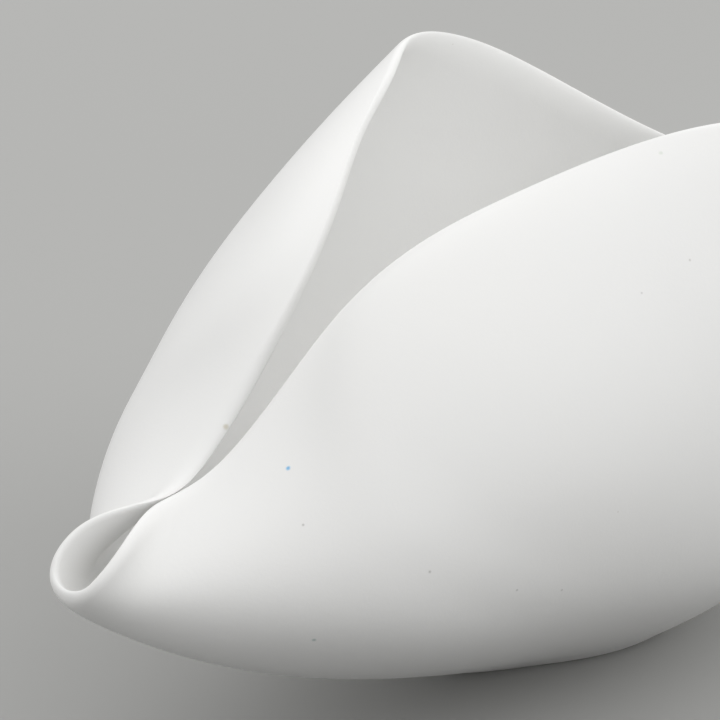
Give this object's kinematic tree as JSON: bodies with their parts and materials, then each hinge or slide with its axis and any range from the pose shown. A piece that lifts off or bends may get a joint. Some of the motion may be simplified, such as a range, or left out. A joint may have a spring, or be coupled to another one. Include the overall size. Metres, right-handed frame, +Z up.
{
  "type": "sculptural bowl",
  "caption": "Thin-walled free-form porcelain bowl: a folded sheet with a pinched spout, two raised corners and a rounded back on a small flat foot.",
  "frame": {"origin": "on the flat resting face of the foot, on the plane of symmetry, below the widest part of the bowl", "axes": "+Z up from the resting face; the spout points to -X and the rounded back to +X; the plane Y = 0 is the plane of symmetry"},
  "size_m": [0.3263, 0.1776, 0.1806],
  "materials": {
    "porcelain": "unglazed, smooth matte biscuit"
  },
  "bodies": {
    "root": {"base_slab": "porcelain", "folded_wall": "porcelain", "back_wall": "porcelain"}
  },
  "joints": []
}
